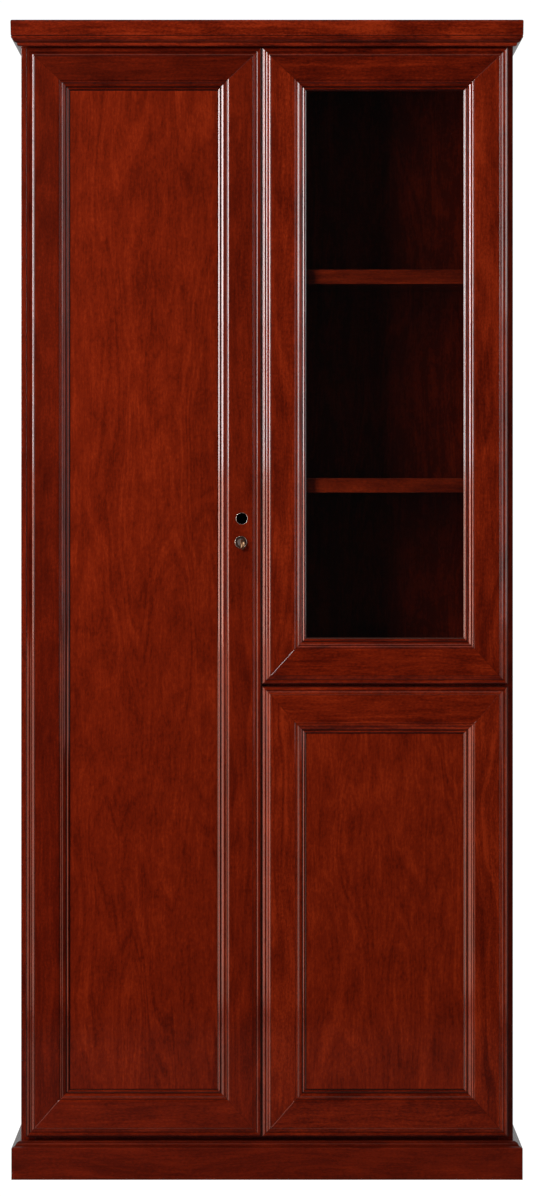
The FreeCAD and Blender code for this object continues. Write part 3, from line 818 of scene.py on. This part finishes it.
def dress_hardware():
    nickel = metal("nickel_plate", (0.66, 0.65, 0.62), 0.30)
    chrome = metal("chrome_tube", (0.80, 0.80, 0.82), 0.12)
    brass = metal("worn_brass", (0.34, 0.20, 0.11), 0.28, 0.25)
    plated = ("hinge_arms", "hinge_plates", "hinge_screws", "shelf_pins", "lock_strike",
              "glass_strike_plate", "lower_strike_plate", "lock_cam", "lock_cam_screw", "lock_nut",
              "left_door_hinge_cups", "glass_door_hinge_cups", "lower_door_hinge_cups")
    for name in plated:
        dress(name, nickel)
    for name in ("hanging_rail", "rail_sockets"):
        dress(name, chrome)
    dress("lock_plug", metal("lock_face", (0.10, 0.09, 0.085), 0.45))
    dress("key", brass)
    brown = plastic("latch_plastic", (0.035, 0.020, 0.015), 0.5)
    for name in ("latch_housings", "glass_latch_plunger", "lower_latch_plunger"):
        dress(name, brown)


# ---------------------------------------------------------------- studio

CAMERA_ACROSS = -0.0009
CAMERA_HEIGHT = 1.151
CAMERA_DISTANCE = 8.7
VIEW_HEIGHT = 2.0629
VIEW_CENTRE = 1.0022
SENSOR = 36.0


def place_camera():
    camera = bpy.data.cameras.new("camera")
    camera.sensor_width = SENSOR
    camera.lens = SENSOR * CAMERA_DISTANCE / VIEW_HEIGHT
    camera.shift_y = (VIEW_CENTRE - CAMERA_HEIGHT) / VIEW_HEIGHT
    holder = bpy.data.objects.new("camera", camera)
    holder.location = (CAMERA_ACROSS, cad_box[0][1] - CAMERA_DISTANCE, CAMERA_HEIGHT)
    holder.rotation_euler = (math.pi / 2, 0, 0)
    bpy.context.scene.collection.objects.link(holder)
    bpy.context.scene.camera = holder


STUDIO_CENTRE_Y = -0.18
WHITE = (1.0, 1.0, 1.0)
WARM = (1.0, 0.62, 0.50)
WARMER = (1.0, 0.42, 0.28)


def area_light(name, size, radiance, colour, place, turn):
    """A rectangular light of a given radiance. size is width and height, turn is in degrees."""
    light = bpy.data.lights.new(name, "AREA")
    light.shape = "RECTANGLE"
    light.size, light.size_y = size
    light.energy = radiance * math.pi * size[0] * size[1]
    light.color = colour
    holder = bpy.data.objects.new(name, light)
    holder.location = place
    holder.rotation_euler = [math.radians(degrees) for degrees in turn]
    bpy.context.scene.collection.objects.link(holder)
    return holder


def softbox_column(name, angle, width, levels, distance=3.0):
    """Upright softboxes above one another, facing the cabinet: foot, top, radiance and colour of each."""
    across = distance * math.sin(math.radians(angle))
    away = STUDIO_CENTRE_Y - distance * math.cos(math.radians(angle))
    for i, (foot, top, radiance, colour) in enumerate(levels):
        place = (across, away, (foot + top) / 2)
        area_light("%s_%d" % (name, i), (width, top - foot), radiance, colour, place, (90, 0, angle))


def light_studio():
    softbox_column("softbox_left", -28, 0.80, (
        (0.0, 0.85, 1.2, WHITE), (0.85, 1.25, 12.0, WARM), (1.25, 1.6, 18.0, WHITE), (1.6, 2.9, 22.0, WHITE)))
    softbox_column("softbox_right", 50, 0.80, (
        (0.0, 0.9, 1.4, WARM), (0.9, 1.6, 2.8, WHITE), (1.6, 2.2, 6.0, WHITE), (2.2, 2.9, 7.0, WHITE)))
    softbox_column("reflector_right", 24, 0.90, ((0.6, 2.6, 0.9, WHITE),))
    # Two dim warm boards show in the lacquer only
    place = (-1.5, STUDIO_CENTRE_Y - 2.7, 0.425)
    area_light("board_left", (1.7, 0.85), 3.8, WARMER, place, (90, 0, -29)).visible_diffuse = False
    place = (0, STUDIO_CENTRE_Y - 3.0, 3.4)
    area_light("board_overhead", (1.8, 0.8), 1.0, WARM, place, (50, 0, 0)).visible_diffuse = False
    # A broad fill behind the cabinet doesn't show in the lacquer
    fill = area_light("fill_rear", (3.5, 2.4), 1.6, WHITE, (0, 3.2, 2.0), (75, 0, 180))
    fill.visible_glossy = False
    light_world()


BACKGROUND = 1.05
ROOM_IN_FRONT = 0.015
ROOM_BEHIND = 0.30


def light_world():
    """A plain white background for the camera. All else sees a room that is dark in front, grey behind."""
    world = bpy.data.worlds.new("studio")
    world.use_nodes = True
    tree = world.node_tree
    tree.nodes.clear()
    path = tree.nodes.new("ShaderNodeLightPath")
    seen = node(tree, "ShaderNodeBackground", Color=(1.0, 1.0, 1.0, 1.0), Strength=BACKGROUND)
    around = node(tree, "ShaderNodeBackground", Color=(1.0, 1.0, 1.0, 1.0))
    place = tree.nodes.new("ShaderNodeTexCoord")
    split = tree.nodes.new("ShaderNodeSeparateXYZ")
    link(tree, place.outputs["Generated"], split.inputs[0])
    spread = node(tree, "ShaderNodeMapRange", interpolation_type="SMOOTHSTEP")
    spread.inputs["From Min"].default_value = 0.0
    spread.inputs["From Max"].default_value = 0.35
    spread.inputs["To Min"].default_value = ROOM_IN_FRONT
    spread.inputs["To Max"].default_value = ROOM_BEHIND
    link(tree, split.outputs[1], spread.inputs["Value"])
    link(tree, spread.outputs[0], around.inputs["Strength"])
    choose = tree.nodes.new("ShaderNodeMixShader")
    link(tree, path.outputs["Is Camera Ray"], choose.inputs[0])
    link(tree, around.outputs[0], choose.inputs[1])
    link(tree, seen.outputs[0], choose.inputs[2])
    out = tree.nodes.new("ShaderNodeOutputWorld")
    link(tree, choose.outputs[0], out.inputs[0])
    bpy.context.scene.world = world
    bpy.context.scene.view_settings.view_transform = "Standard"


FLOOR_RADIUS = 3.4
FLOOR_BELOW = 0.2 * MM
FADE_FROM = 2.4
FADE_TO = 3.3


def lay_floor():
    """A round pale floor with a soft polish that fades out at its rim. The camera sees it plain."""
    bpy.ops.mesh.primitive_circle_add(
        vertices=96, radius=FLOOR_RADIUS, fill_type="NGON", location=(0, 0, -FLOOR_BELOW))
    floor = bpy.context.object
    floor.name = "floor"
    material, tree, shader = new_material("pale_floor")
    tree.nodes.remove(shader)
    diffuse = node(tree, "ShaderNodeBsdfDiffuse", Color=(0.12, 0.12, 0.12, 1.0))
    glow = node(tree, "ShaderNodeEmission", Color=(1.0, 1.0, 1.0, 1.0))
    path = tree.nodes.new("ShaderNodeLightPath")
    link(tree, path.outputs["Is Camera Ray"], glow.inputs["Strength"])
    plain = tree.nodes.new("ShaderNodeAddShader")
    link(tree, diffuse.outputs[0], plain.inputs[0])
    link(tree, glow.outputs[0], plain.inputs[1])
    polish = node(tree, "ShaderNodeBsdfGlossy", Color=(1.0, 1.0, 1.0, 1.0), Roughness=0.12)
    angle = node(tree, "ShaderNodeFresnel", IOR=1.5)
    seen_elsewhere = math_node(tree, "SUBTRACT", 1.0, path.outputs["Is Camera Ray"])
    both = tree.nodes.new("ShaderNodeMixShader")
    link(tree, math_node(tree, "MULTIPLY", angle.outputs[0], seen_elsewhere), both.inputs[0])
    link(tree, plain.outputs[0], both.inputs[1])
    link(tree, polish.outputs[0], both.inputs[2])
    clear = tree.nodes.new("ShaderNodeBsdfTransparent")
    place = tree.nodes.new("ShaderNodeTexCoord")
    radius = node(tree, "ShaderNodeVectorMath", operation="LENGTH")
    link(tree, place.outputs["Object"], radius.inputs[0])
    fade = node(tree, "ShaderNodeMapRange", interpolation_type="SMOOTHSTEP")
    fade.inputs["From Min"].default_value = FADE_FROM
    fade.inputs["From Max"].default_value = FADE_TO
    link(tree, radius.outputs["Value"], fade.inputs["Value"])
    mix = tree.nodes.new("ShaderNodeMixShader")
    link(tree, fade.outputs[0], mix.inputs[0])
    link(tree, both.outputs[0], mix.inputs[1])
    link(tree, clear.outputs[0], mix.inputs[2])
    link(tree, mix.outputs[0], tree.nodes["Material Output"].inputs[0])
    floor.data.materials.append(material)


place_camera()
light_studio()
lay_floor()
build_cornice()
build_plinth()
for door_name in DOORS:
    build_door_frame(door_name)
dress_boards()
dress_doors()
build_ring_and_lock()
dress_hardware()
